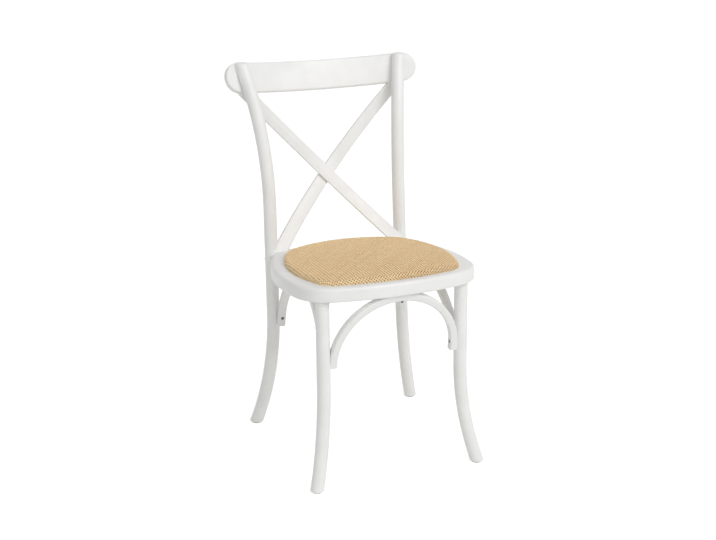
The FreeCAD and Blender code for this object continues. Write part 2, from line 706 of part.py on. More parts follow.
def slat_stock(name, side, inner):
    """Strip bent to an arc, seen straight from the front, a little long at both ends."""
    centre, radius, angles, foot, top = slat_arc()
    band = new_body(name + "_band", Placement(Vector(0, depth(0), 0), Rotation()))
    profile = new_sketch(band, name + "_profile", "YZ_Plane")
    spare = size("slat_spare") / radius
    low = angles[0] - spare
    high = angles[1] + spare

    def at(angle, reach):
        return Vector(centre.y + reach * math.cos(angle), centre.z + reach * math.sin(angle), 0)

    near = radius + inner
    far = near + size("slat_thickness")
    profile.addGeometry(Part.Arc(at(low, near), at((low + high) / 2, near), at(high, near)), False)
    profile.addGeometry(Part.LineSegment(at(high, near), at(high, far)), False)
    profile.addGeometry(Part.Arc(at(high, far), at((low + high) / 2, far), at(low, far)), False)
    profile.addGeometry(Part.LineSegment(at(low, far), at(low, near)), False)
    sheet_band = band.newObject("PartDesign::Pad", name + "_bend")
    sheet_band.Profile = profile
    sheet_band.Midplane = True
    sheet_band.setExpression("Length", "2 * (Sizes.post_top_x + 2 * Sizes.slat_width)")
    top_x, foot_x = slat_spread()
    start = Vector(side * top_x, depth(0), top.z)
    end = Vector(-side * foot_x, depth(0), foot.z)
    run = unit(end - start)
    reach = size("post_top_y") * 2
    strip = doc.addObject("Part::Box", name + "_strip")
    strip.Length = (end - start).Length + 2 * size("slat_spare")
    strip.Width = size("slat_width")
    strip.Height = reach
    strip.setExpression("Width", "Sizes.slat_width")
    frame = frame_at(start, Vector(0, 1, 0), run)
    corner = Vector(-size("slat_spare"), -size("slat_width") / 2, -reach / 4)
    strip.Placement = frame.multiply(Placement(corner, Rotation()))
    common = doc.addObject("Part::Common", name + "_common")
    common.Base = band
    common.Tool = strip
    doc.recompute()
    fillet = doc.addObject("Part::Fillet", name + "_stock")
    fillet.Base = common
    radius = size("slat_round")
    long = (end - start).Length / 2
    fillet.Edges = [(n, radius, radius) for n, e in enumerate(common.Shape.Edges, 1) if e.Length > long]
    return fillet


def screw_master(name, length):
    """Countersunk wood screw, its head's face at the origin and its tip towards +Z."""
    head = doc.addObject("Part::Cone", name + "_head")
    head.setExpression("Radius1", "Sizes.screw_head_diameter / 2")
    head.setExpression("Radius2", "Sizes.screw_shank_diameter / 2")
    head.setExpression("Height", "Sizes.screw_head_height")
    shank = doc.addObject("Part::Cylinder", name + "_shank")
    shank.setExpression("Radius", "Sizes.screw_shank_diameter / 2")
    shank.setExpression("Height", f"Sizes.{length} - Sizes.screw_tip_length")
    tip = doc.addObject("Part::Cone", name + "_tip")
    tip.setExpression("Radius1", "Sizes.screw_shank_diameter / 2")
    tip.setExpression("Radius2", "Sizes.screw_shank_diameter / 10")
    tip.setExpression("Height", "Sizes.screw_tip_length")
    tip.setExpression("Placement.Base.z", f"Sizes.{length} - Sizes.screw_tip_length")
    solid = fuse(name + "_solid", [head, shank, tip])
    bars = []
    for number, (along, across) in enumerate((("Length", "Width"), ("Width", "Length"))):
        bar = doc.addObject("Part::Box", f"{name}_recess_{number}")
        bar.setExpression(along, "Sizes.recess_length")
        bar.setExpression(across, "Sizes.recess_width")
        bar.setExpression("Height", "Sizes.recess_depth")
        sides = {"Length": "x", "Width": "y"}
        bar.setExpression(f"Placement.Base.{sides[along]}", "-Sizes.recess_length / 2")
        bar.setExpression(f"Placement.Base.{sides[across]}", "-Sizes.recess_width / 2")
        bars.append(bar)
    doc.recompute()
    return cut(name, solid, bars), solid


def placed_copies(name, shape, places):
    """One object that holds a copy of a shape at each place."""
    copies = []
    for place in places:
        copy = shape.copy()
        copy.Placement = place.multiply(copy.Placement)
        copies.append(copy)
    item = doc.addObject("Part::Feature", name)
    item.Shape = Part.makeCompound(copies)
    return item


def screw_group(name, length, places, sink=0.0):
    """Group of equal screws, sunk below the surface if asked, and the holes that they take."""
    screw, solid = screw_master(name, length)
    doc.recompute()
    radius = size("screw_head_diameter") / 2
    moved = Placement(Vector(0, 0, sink), Rotation())
    group = keep(name, placed_copies(name, screw.Shape, [place.multiply(moved) for place in places]))
    cutter = solid.Shape.copy()
    cutter.Placement = moved
    bore = Part.makeCylinder(radius, 2 * radius + sink, Vector(0, 0, -2 * radius))
    holes = placed_copies(name + "_holes", cutter.fuse(bore).removeSplitter(), places)
    return group, holes


def towards(point, direction):
    """Placement of a screw that enters at a point along a direction."""
    hint = Vector(0, 0, 1) if abs(unit(direction).z) < 0.9 else Vector(1, 0, 0)
    return frame_at(point, direction, hint)


def brace_jobs():
    """Place and inner radius of each brace."""
    jobs = [(front_brace_placement(), size("brace_radius"))]
    for side in (LEFT, RIGHT):
        jobs.append((side_brace_placement(side), size("side_brace_radius")))
    return jobs


def brace_end_places():
    """Screws through the ends of the braces into the legs."""
    places = []
    for place, radius in brace_jobs():
        tail = size("brace_tail")
        angle = math.asin((size("brace_screw_height") - tail) / radius)
        for side in (LEFT, RIGHT):
            point = Vector(side * radius * math.cos(angle), 0, tail + radius * math.sin(angle))
            direction = place.Rotation.multVec(Vector(side, 0, 0))
            places.append(towards(place.multVec(point), direction))
    return places


def brace_crown_places():
    """Screws up through the crowns of the braces into the ring."""
    places = []
    for place, radius in brace_jobs():
        up = place.Rotation.multVec(Vector(0, 0, 1))
        places.append(towards(place.multVec(Vector(0, 0, radius + size("brace_tail"))), up))
    return places


def rail_screw_places():
    """Two screws through the back of the rail into each post."""
    place = rail_placement()
    inset = size("rail_screw_inset")
    radius = rail_front_radius()
    outside = radius + size("rail_thickness")
    places = []
    for side in (LEFT, RIGHT):
        for z in (-inset, inset - size("rail_height")):
            world = place.multVec(Vector(0, rail_face_y(size("post_top_x")), z)).z
            x = post_axis_at(side, world).x
            normal = Vector(x / radius, math.sqrt(1 - (x / radius) ** 2), 0)
            point = Vector(0, size("rail_bow") - radius, z) + normal * outside
            places.append(towards(place.multVec(point), place.Rotation.multVec(normal * -1)))
    return places


def post_axis_at(side, z):
    """Point of a post's axis at a height in its upper bend."""
    line = rear_post_line(side)
    bend = at_height(line, post_bend_level())
    radius, turn, out = pole_bend(bend, line[1], post_top(side))
    along = unit(line[1])
    low = 0.0
    high = turn
    for _ in range(40):
        angle = (low + high) / 2
        point = bend + along * (radius * math.sin(angle)) + out * (radius * (1 - math.cos(angle)))
        if point.z < z:
            low = angle
        else:
            high = angle
    return point


def crossing_place():
    """Screw through both slats where they cross, driven from behind."""
    _, _, _, foot, top = slat_arc()
    top_x, foot_x = slat_spread()
    share = top_x / (top_x + foot_x)
    z = top.z + (foot.z - top.z) * share
    point, normal = slat_point(z, size("slat_thickness"))
    return towards(point, normal * -1)


def board_screw_places():
    """Screws from under the ring up into the seat board."""
    up = seat_placement().Rotation.multVec(Vector(0, 0, 1))
    x = size("board_screw_x")
    front = (size("ring_width") - size("seat_front") - size("pad_front")) / 2
    back = (size("seat_back") + size("pad_back") - size("ring_width") - size("rear_width_extra")) / 2
    under = -size("ring_thickness")
    return [towards(on_seat(side * x, y, under), up) for y in (front, back) for side in (LEFT, RIGHT)]


def bolt_frame(side):
    """Bolt axis at a rear post: the origin on the post's axis, Z inwards to the ring."""
    line = rear_post_line(side)
    normal = seat_placement().Rotation.multVec(Vector(0, 0, 1))
    level = on_seat(0, 0, -size("bolt_depth"))
    point = line[0] + line[1] * (normal.dot(level - line[0]) / normal.dot(line[1]))
    inward = seat_placement().Rotation.multVec(Vector(-side, -1, 0))
    return frame_at(point, inward, normal)


def washer_seat():
    """Distance from a post's axis to the flat under a bolt's washer."""
    reach = size("washer_diameter") / 2 + size("washer_clearance")
    pole = size("pole_diameter") / 2
    return math.sqrt(pole * pole - reach * reach) - size("washer_clearance")


def bolt_parts():
    """Bolts with washers and barrel nuts, and what they take out of the posts and the ring."""
    seat = washer_seat()
    under_head = seat + size("washer_thickness")
    shank_radius = size("bolt_diameter") / 2
    head_radius = size("bolt_head_diameter") / 2
    height = size("bolt_head_height")
    ball = (head_radius * head_radius + height * height) / (2 * height)
    shank = Part.makeCylinder(shank_radius, size("bolt_length"), Vector(0, 0, -under_head))
    dome = Part.makeSphere(ball, Vector(0, 0, ball - height - under_head))
    block = Part.makeCylinder(head_radius, height, Vector(0, 0, -under_head - height))
    bolt = block.common(dome).fuse(shank).removeSplitter()
    washer_radius = size("washer_diameter") / 2
    washer = Part.makeCylinder(washer_radius, size("washer_thickness"), Vector(0, 0, -under_head))
    washer = washer.cut(shank)
    face = Part.makeCylinder(washer_radius + size("washer_clearance"), size("pole_diameter"),
                             Vector(0, 0, -seat - size("pole_diameter")))
    nut_z = size("bolt_length") - under_head - size("barrel_setback")
    half = size("barrel_length") / 2
    nut_radius = size("barrel_diameter") / 2
    nut = Part.makeCylinder(nut_radius, 2 * half, Vector(-half, 0, nut_z), Vector(1, 0, 0)).cut(shank)
    access = Part.makeCylinder(nut_radius, half + size("ring_thickness"), Vector(half, 0, nut_z), Vector(-1, 0, 0))
    frames = [bolt_frame(side) for side in (LEFT, RIGHT)]
    keep("post_bolts", placed_copies("post_bolts", bolt, frames))
    keep("post_bolt_washers", placed_copies("post_bolt_washers", washer, frames))
    keep("post_barrel_nuts", placed_copies("post_barrel_nuts", nut, frames))
    holes = placed_copies("bolt_holes", shank.fuse(face), frames)
    pockets = placed_copies("barrel_holes", shank.fuse(access), frames)
    return holes, pockets


def foot_centre(row, side):
    """Centre of a foot's lower face on its glide."""
    if row == "front":
        line = front_leg_line(side)
        start = at_height(line, size("front_bend_height"))
        foot = Vector(side * size("front_foot_x"), depth(-size("front_foot_y")), 0)
    else:
        line = rear_post_line(side)
        start = at_height(line, size("rear_bend_height"))
        foot = Vector(side * size("rear_foot_x"), depth(size("rear_foot_y")), 0)
    _, turn, out = pole_bend(start, line[1] * -1, foot)
    run = unit(line[1]) * -math.cos(turn) + out * math.sin(turn)
    return foot + run * (size("glide_thickness") / run.z)


def glides():
    """Four plastic glides with their nails, and the nails' holes."""
    centres = []
    sink = size("nail_sink")
    head = Part.makeCylinder(size("nail_head_diameter") / 2, size("nail_head_height"), Vector(0, 0, sink))
    shank = Part.makeCylinder(size("nail_diameter") / 2, size("nail_length") - sink, Vector(0, 0, sink))
    nail = head.fuse(shank).removeSplitter()
    bore = Part.makeCylinder(size("nail_head_diameter") / 2, sink + size("nail_head_height"))
    for row in ("front", "rear"):
        for side in (LEFT, RIGHT):
            point = foot_centre(row, side)
            centres.append(Placement(Vector(point.x, point.y, 0), Rotation()))
    nails = keep("glide_nails", placed_copies("glide_nails", nail, centres))
    holes = placed_copies("glide_holes", nail.fuse(bore).removeSplitter(), centres)
    for place, (row, side) in zip(centres, [(r, s) for r in ("front", "rear") for s in (LEFT, RIGHT)]):
        name = f"foot_glide_{row}_{SIDE_NAMES[side]}"
        disc = doc.addObject("Part::Cylinder", name + "_disc")
        disc.setExpression("Radius", "Sizes.glide_diameter / 2")
        disc.setExpression("Height", "Sizes.glide_thickness")
        disc.Placement = place
        doc.recompute()
        rounded = doc.addObject("Part::Fillet", name + "_round")
        rounded.Base = disc
        radius = size("glide_round")
        rounded.Edges = [(n, radius, radius) for n, e in enumerate(disc.Shape.Edges, 1) if lies_at(e, 0)]
        keep(name, cut(name, rounded, [holes]))
    return holes


def seat_board(holes):
    """Plywood board in the ring's rebate."""
    place = seat_placement().multiply(Placement(Vector(0, 0, -size("rebate_depth")), Rotation()))
    body = new_body("seat_board_sheet", place)
    pad = body.newObject("PartDesign::Pad", "seat_board_pad")
    pad.Profile = outline_sketch(body, "seat_board_outline", [inset_outline("pad", 0)])
    pad.setExpression("Length", "Sizes.board_thickness")
    return keep("seat_board", cut("seat_board", body, holes))


def domed_block(name, shrink):
    """Domed block on the seat board, smaller all round and lower by shrink."""
    base = size("board_thickness") - size("rebate_depth")
    body = new_body(name + "_block", seat_placement().multiply(Placement(Vector(0, 0, base), Rotation())))
    pad = body.newObject("PartDesign::Pad", name + "_pad")
    pad.Profile = outline_sketch(body, name + "_outline", [inset_outline("pad", shrink)])
    pad.setExpression("Length", "Sizes.rebate_depth + Sizes.pad_edge_height + 2 * Sizes.pad_crown")
    front = size("pad_front")
    back = size("pad_back")
    half = (front + back) / 2
    crown = size("pad_crown")
    ball = (half * half + crown * crown) / (2 * crown)
    top = size("pad_edge_height") + crown
    dome = doc.addObject("Part::Sphere", name + "_dome")
    dome.Radius = ball - shrink
    dome.Placement = seat_placement().multiply(Placement(Vector(0, (back - front) / 2, top - ball), Rotation()))
    common = doc.addObject("Part::Common", name + "_common")
    common.Base = body
    common.Tool = dome
    doc.recompute()
    local = seat_placement().inverse()
    rounded = doc.addObject("Part::Fillet", name + "_stock")
    rounded.Base = common
    radius = size("pad_edge_round") - shrink

    def on_top(edge):
        ends = [local.multVec(edge.valueAt(t)).z for t in (edge.FirstParameter, edge.LastParameter)]
        return min(ends) > base + size("board_clearance") and edge.Length > 4 * size("pad_edge_height")

    rounded.Edges = [(n, radius, radius) for n, e in enumerate(common.Shape.Edges, 1) if on_top(e)]
    return rounded


def main():
    floor = floor_block()
    ring = ring_stock()
    under_ring = seat_slab("under_ring", False, -size("ring_thickness"))
    below_feet = seat_slab("below_slat_feet", True, -size("slat_tenon"))
    above_slats = rail_slab("above_slat_tops", rail_placement(), size("slat_tenon") - size("rail_height"))
    above_posts = rail_slab("above_post_tops", Placement(rail_edge_at_posts(), Rotation()), 0)

    poles = {}
    posts = {}
    for side in (LEFT, RIGHT):
        poles[side], posts[side] = rear_post(side, floor, above_posts)
    both_poles = pair("both_poles", [poles[LEFT], poles[RIGHT]])
    legs = {}
    tenons = []
    for side in (LEFT, RIGHT):
        legs[side], tenon = front_leg(side, floor, ring)
        tenons.append(tenon)

    _, end_holes = screw_group(
        "brace_end_screws", "brace_screw_length", brace_end_places(), size("brace_screw_sink"))
    _, crown_holes = screw_group(
        "brace_crown_screws", "brace_screw_length", brace_crown_places(), size("brace_screw_sink"))
    _, rail_holes = screw_group("rail_screws", "rail_screw_length", rail_screw_places())
    _, crossing_hole = screw_group("slat_crossing_screw", "crossing_screw_length", [crossing_place()])
    _, board_holes = screw_group("seat_board_screws", "board_screw_length", board_screw_places())
    bolt_holes, barrel_holes = bolt_parts()
    nail_holes = glides()

    slats = []
    for name, side, inner in (("front", LEFT, -size("slat_thickness")), ("rear", RIGHT, 0.0)):
        stock = slat_stock("slat_" + name, side, inner)
        trimmed = cut("slat_" + name, stock, [below_feet, above_slats])
        slats.append(trimmed)
        keep("cross_slat_" + name, cut("cross_slat_" + name, trimmed, [crossing_hole]))

    rail = rail_stock()
    keep("top_rail", cut("top_rail", rail, [both_poles] + slats + [rail_holes]))

    front_brace = half_ring("front_brace_stock", front_brace_placement(), size("brace_radius"))
    fitted = [legs[LEFT], legs[RIGHT], under_ring, end_holes, crown_holes]
    keep("front_brace", cut("front_brace", front_brace, fitted))
    for side in (LEFT, RIGHT):
        name = f"side_brace_{SIDE_NAMES[side]}"
        stock = half_ring(name + "_stock", side_brace_placement(side), size("side_brace_radius"))
        keep(name, cut(name, stock, [legs[side], posts[side], under_ring, end_holes, crown_holes]))

    for side in (LEFT, RIGHT):
        name = f"front_leg_{SIDE_NAMES[side]}"
        keep(name, cut(name, legs[side], [end_holes, nail_holes]))
        name = f"rear_post_{SIDE_NAMES[side]}"
        keep(name, cut(name, posts[side], slats + [end_holes, rail_holes, bolt_holes, nail_holes]))

    keep("seat_frame", cut(
        "seat_frame", ring, [both_poles] + tenons + slats + [crown_holes, board_holes, barrel_holes]))

    seat_board([board_holes])
    cover = domed_block("cover", 0.0)
    hollow = domed_block("cover_hollow", size("cane_thickness"))
    keep("rattan_cover", cut("rattan_cover", cover, [hollow]))
    keep("seat_padding", domed_block("padding", size("cane_thickness") + size("soft_clearance")))


def write_parts():
    """Checks every object and writes one file for each piece."""
    doc.recompute()
    for item in doc.Objects:
        if "Invalid" in item.State or "Error" in item.State:
            raise RuntimeError(f"{item.Name} did not build: {item.State}")
    os.makedirs("parts", exist_ok=True)
    for name, item in nodes.items():
        shape = item.Shape
        if shape.isNull() or not shape.isValid() or not shape.Solids:
            raise RuntimeError(f"{name} has no sound solid")
        shape.exportStep(f"parts/{name}.step")
        print(f"{name:24s} solids {len(shape.Solids)} volume {shape.Volume / 1000:.2f} cm3")


main()
write_parts()
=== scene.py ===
import functools
import math

import bmesh
import bpy
from mathutils import Matrix, Vector


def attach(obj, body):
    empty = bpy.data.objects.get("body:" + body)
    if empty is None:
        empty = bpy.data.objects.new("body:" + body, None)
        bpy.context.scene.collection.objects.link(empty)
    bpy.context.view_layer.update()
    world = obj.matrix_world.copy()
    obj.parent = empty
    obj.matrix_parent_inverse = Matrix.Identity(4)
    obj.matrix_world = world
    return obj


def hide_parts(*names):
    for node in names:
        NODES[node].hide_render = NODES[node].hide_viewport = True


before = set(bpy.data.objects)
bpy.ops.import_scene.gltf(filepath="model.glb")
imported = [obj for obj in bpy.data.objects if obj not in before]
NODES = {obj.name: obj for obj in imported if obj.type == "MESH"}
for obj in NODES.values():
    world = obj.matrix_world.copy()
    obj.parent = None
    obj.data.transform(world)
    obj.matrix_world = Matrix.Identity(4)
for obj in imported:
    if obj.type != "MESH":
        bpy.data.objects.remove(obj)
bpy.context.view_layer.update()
MM = 0.001

# Places that the seat and the camera share with the solid model, in millimetres and degrees.
FEET_MIDDLE_Y = -64.08
SEAT_HEIGHT = 455.7
SEAT_TILT = 3.7

# Woven pad in the seat's plane, in millimetres.
PAD_CROWN = 5.0
PAD_TOP = 17.0
PAD_HALF_DEPTH = 178.0
PAD_MIDDLE_Y = 3.0
PAD_EDGE = 8.0
STRAND_WAVE = 0.7

# Points of a mesh nearer than this are one point, in millimetres.
SAME_POINT = 0.002
# Solid faces that meet at a larger angle show an edge, in degrees.
REAL_EDGE = 28

# Strength of the air as a light, and of the glow that keeps the floor white to the camera.
AIR_LIGHT = 0.5
FLOOR_GLOW = 0.55

# Kinds of node that come up often.
MATH = "ShaderNodeMath"
VECTOR = "ShaderNodeVectorMath"
XYZ = "ShaderNodeCombineXYZ"
NOISE = "ShaderNodeTexNoise"
RANGE = "ShaderNodeMapRange"
RAMP = "ShaderNodeValToRGB"
BUMP = "ShaderNodeBump"
ATTRIBUTE = "ShaderNodeAttribute"


def linear(code):
    """Linear colour of an sRGB hex code."""
    def channel(value):
        value /= 255
        return value / 12.92 if value <= 0.04045 else ((value + 0.055) / 1.055) ** 2.4
    return tuple(channel(int(code[i:i + 2], 16)) for i in (1, 3, 5)) + (1.0,)


def put(tree, node, *values, **named):
    """Sets a node's sockets, in order or by name, to values, to other nodes' first outputs or to outputs."""
    wanted = list(enumerate(values)) + [(name.replace("_", " "), value) for name, value in named.items()]
    for key, value in wanted:
        if isinstance(value, bpy.types.Node):
            value = value.outputs[0]
        if isinstance(value, bpy.types.NodeSocket):
            tree.links.new(value, node.inputs[key])
        else:
            node.inputs[key].default_value = value


def add(tree, kind, settings=None, *values, **named):
    """Adds a node. Settings are its operation, or its properties and the stops of its ramp."""
    node = tree.nodes.new(kind)
    if isinstance(settings, str):
        settings = {"operation": settings}
    for name, value in (settings or {}).items():
        if name != "stops":
            setattr(node, name, value)
            continue
        for element, (place, code) in zip(node.color_ramp.elements, value):
            element.position = place
            element.color = linear(code)
    put(tree, node, *values, **named)
    return node


def features(size_mm):
    """Noise scale that gives features about so many millimetres wide."""
    return 1 / (size_mm * MM)


# Finishes


def finish_material(name):
    """Empty node material with a Principled shader."""
    material = bpy.data.materials.new(name)
    material.use_nodes = True
    tree = material.node_tree
    tree.nodes.clear()
    shader = add(tree, "ShaderNodeBsdfPrincipled")
    add(tree, "ShaderNodeOutputMaterial", Surface=shader)
    return material, tree, shader


def pattern_place(tree, *stretch):
    """Object coordinates, stretched."""
    place = add(tree, "ShaderNodeTexCoord").outputs["Object"]
    return add(tree, "ShaderNodeMapping", Vector=place, Scale=stretch or (1.0, 1.0, 1.0))


def white_lacquer():
    """Sprayed satin white lacquer over beech: even colour, soft gloss, faint orange peel and pores."""
    material, tree, shader = finish_material("satin_white_lacquer_on_beech")
    place = pattern_place(tree)
    cloud = add(tree, NOISE, Vector=place, Scale=features(55), Detail=3)
    sheen = add(tree, NOISE, Vector=place, Scale=features(22), Detail=2)
    # the peel and the pores are finer than a pixel and show in close views only
    peel = add(tree, NOISE, Vector=place, Scale=features(1.6), Detail=2)
    grain = add(tree, NOISE, Vector=pattern_place(tree, 1.0, 1.0, 0.07), Scale=features(0.9), Detail=3)
    pores = add(tree, MATH, "MULTIPLY", grain, 0.4)
    height = add(tree, MATH, "ADD", add(tree, MATH, "MULTIPLY", peel, 0.6), pores)
    put(tree, shader, IOR=1.5,
        Base_Color=add(tree, RAMP, {"stops": ((0.35, "#EFEFED"), (0.68, "#F4F4F3"))}, cloud),
        Roughness=add(tree, RANGE, None, sheen, 0.3, 0.7, 0.34, 0.43),
        Normal=add(tree, BUMP, Strength=1.0, Distance=0.035 * MM, Height=height))
    return material


def rattan():
    """Peeled rattan core, woven and varnished: honey tan strands, each a little lighter or darker, with
    painted shade darkening the dips where a strand passes under and lighter colour painted on its crests."""
    material, tree, shader = finish_material("varnished_woven_rattan")
    tone = add(tree, ATTRIBUTE, {"attribute_name": "strand_tone"}).outputs["Fac"]
    painted_crest_light = add(tree, ATTRIBUTE, {"attribute_name": "strand_painted_crest_light"}).outputs["Fac"]
    along = add(tree, ATTRIBUTE, {"attribute_name": "strand_place"}).outputs["Vector"]
    lengthwise = add(tree, "ShaderNodeMapping", Vector=along, Scale=(0.06, 1.0, 1.0))
    fibre = add(tree, NOISE, Vector=lengthwise, Scale=features(0.7), Detail=3)
    patchy = add(tree, "ShaderNodeMapping", Vector=along, Scale=(0.5, 1.0, 1.0))
    patch = add(tree, NOISE, Vector=patchy, Scale=features(9), Detail=2)
    mix = add(tree, MATH, "MULTIPLY", tone, 0.16)
    # the crest share paints shade into each strand's dips and lightens its crests
    for part, share in ((fibre, 0.2), (patch, 0.2), (painted_crest_light, 0.44)):
        mix = add(tree, MATH, "ADD", mix, add(tree, MATH, "MULTIPLY", part, share))
    put(tree, shader, Roughness=0.42, IOR=1.5,
        Base_Color=add(tree, RAMP, {"stops": ((0.22, "#D09A60"), (0.56, "#FFE4B6"))}, mix),
        Normal=add(tree, BUMP, Strength=1.0, Distance=0.05 * MM, Height=fibre))
    return material


def lining():
    """Brown lining cloth over the foam, seen only between the strands."""
    material, tree, shader = finish_material("brown_lining_cloth")
    weave = add(tree, NOISE, Vector=pattern_place(tree), Scale=features(0.8), Detail=2)
    put(tree, shader, Roughness=0.9,
        Base_Color=add(tree, RAMP, {"stops": ((0.3, "#7A5430"), (0.7, "#8F683F"))}, weave))
    return material


def plywood():
    """Raw birch plywood: pale, dry, with long flat grain."""
    material, tree, shader = finish_material("raw_birch_plywood")
    lengthwise = pattern_place(tree, 0.05, 1.0, 1.0)
    grain = add(tree, NOISE, Vector=lengthwise, Scale=features(3), Detail=4, Roughness=0.6)
    put(tree, shader, Roughness=0.75,
        Base_Color=add(tree, RAMP, {"stops": ((0.3, "#C6A477"), (0.72, "#DEC49C"))}, grain),
        Normal=add(tree, BUMP, Strength=1.0, Distance=0.05 * MM, Height=grain))
    return material


def metal(name, code, roughness):
    """Plated steel: grey metal with a faint worn sheen."""
    material, tree, shader = finish_material(name)
    worn = add(tree, NOISE, Vector=pattern_place(tree), Scale=features(0.9), Detail=2)
    put(tree, shader, Base_Color=linear(code), Metallic=1.0,
        Roughness=add(tree, RANGE, None, worn, 0.3, 0.7, roughness - 0.06, roughness + 0.06))
    return material


def enamel():
    """White paint brushed over steel bolt caps, a little glossier than the lacquer."""
    material, tree, shader = finish_material("white_paint_on_steel")
    cloud = add(tree, NOISE, Vector=pattern_place(tree), Scale=features(6), Detail=2)
    put(tree, shader, Roughness=0.3, IOR=1.5,
        Base_Color=add(tree, RAMP, {"stops": ((0.3, "#E6E5E1"), (0.7, "#F0EFEC"))}, cloud))
    return material


def nylon():
    """Moulded nylon glides: dull off-white plastic."""
    material, tree, shader = finish_material("moulded_nylon")
    speck = add(tree, NOISE, Vector=pattern_place(tree), Scale=features(1.2), Detail=2)
    put(tree, shader, Roughness=0.55, IOR=1.53,
        Base_Color=add(tree, RAMP, {"stops": ((0.3, "#C9C8C3"), (0.7, "#D6D5D0"))}, speck),
        Normal=add(tree, BUMP, Strength=1.0, Distance=0.02 * MM, Height=speck))
    return material


def dress(names, material):
    """Gives CAD nodes a finish."""
    for name in names:
        slots = NODES[name].material_slots
        if not slots:
            NODES[name].data.materials.append(material)
        for slot in slots:
            slot.material = material


# Smooth faces of the solid model


def soft_shading():
    """Tree that joins a node's loose triangles and shades it smooth up to its real edges."""
    tree = bpy.data.node_groups.new("smooth_up_to_real_edges", "GeometryNodeTree")
    tree.interface.new_socket("Geometry", in_out="INPUT", socket_type="NodeSocketGeometry")
    angle = tree.interface.new_socket("Edge angle", in_out="INPUT", socket_type="NodeSocketFloat")
    angle.default_value = math.radians(REAL_EDGE)
    tree.interface.new_socket("Geometry", in_out="OUTPUT", socket_type="NodeSocketGeometry")
    source = add(tree, "NodeGroupInput")
    joined = add(tree, "GeometryNodeMergeByDistance", Geometry=source.outputs["Geometry"],
                 Distance=SAME_POINT * MM)
    smooth = add(tree, "GeometryNodeSetShadeSmooth", {"domain": "FACE"}, Geometry=joined, Shade_Smooth=True)
    bend = add(tree, "GeometryNodeInputMeshEdgeAngle").outputs["Unsigned Angle"]
    real = add(tree, "FunctionNodeCompare", {"data_type": "FLOAT", "operation": "GREATER_THAN"},
               bend, source.outputs["Edge angle"])
    sharp = add(tree, "GeometryNodeSetShadeSmooth", {"domain": "EDGE"}, Geometry=smooth, Selection=real,
                Shade_Smooth=False)
    add(tree, "NodeGroupOutput", Geometry=sharp)
    return tree


# Woven pad


def seat_matrix():
    """Seat plane: X across, Y back along the seat, Z out of the ring's top."""
    return Matrix.Translation(Vector((0, FEET_MIDDLE_Y, SEAT_HEIGHT)) * MM) @ Matrix.Rotation(
        math.radians(-SEAT_TILT), 4, "X")


def pad_outline(inset_mm):
    """Outline of the cover in the seat plane, moved in, from the solid model's own cover."""
    to_seat = seat_matrix().inverted()
    cover = NODES["rattan_cover"].data
    points = sorted({tuple(round(c, 6) for c in (to_seat @ v.co)[:2]) for v in cover.vertices})

    def half(run):
        chain = []
        for p in run:
            while len(chain) > 1:
                (ax, ay), (bx, by) = chain[-2], chain[-1]
                if (bx - ax) * (p[1] - ay) - (by - ay) * (p[0] - ax) > 0:
                    break
                chain.pop()
            chain.append(p)
        return chain[:-1]

    hull = half(points) + half(points[::-1])
    kept = [p for n, p in enumerate(hull) if math.dist(p, hull[n - 1]) > 0.2 * MM]
    moved = []
    for n, p in enumerate(kept):
        a = Vector(kept[n - 1])
        b = Vector(kept[(n + 1) % len(kept)])
        run = (b - a).normalized()
        moved.append(Vector(p) + Vector((-run.y, run.x)) * inset_mm * MM)
    return moved


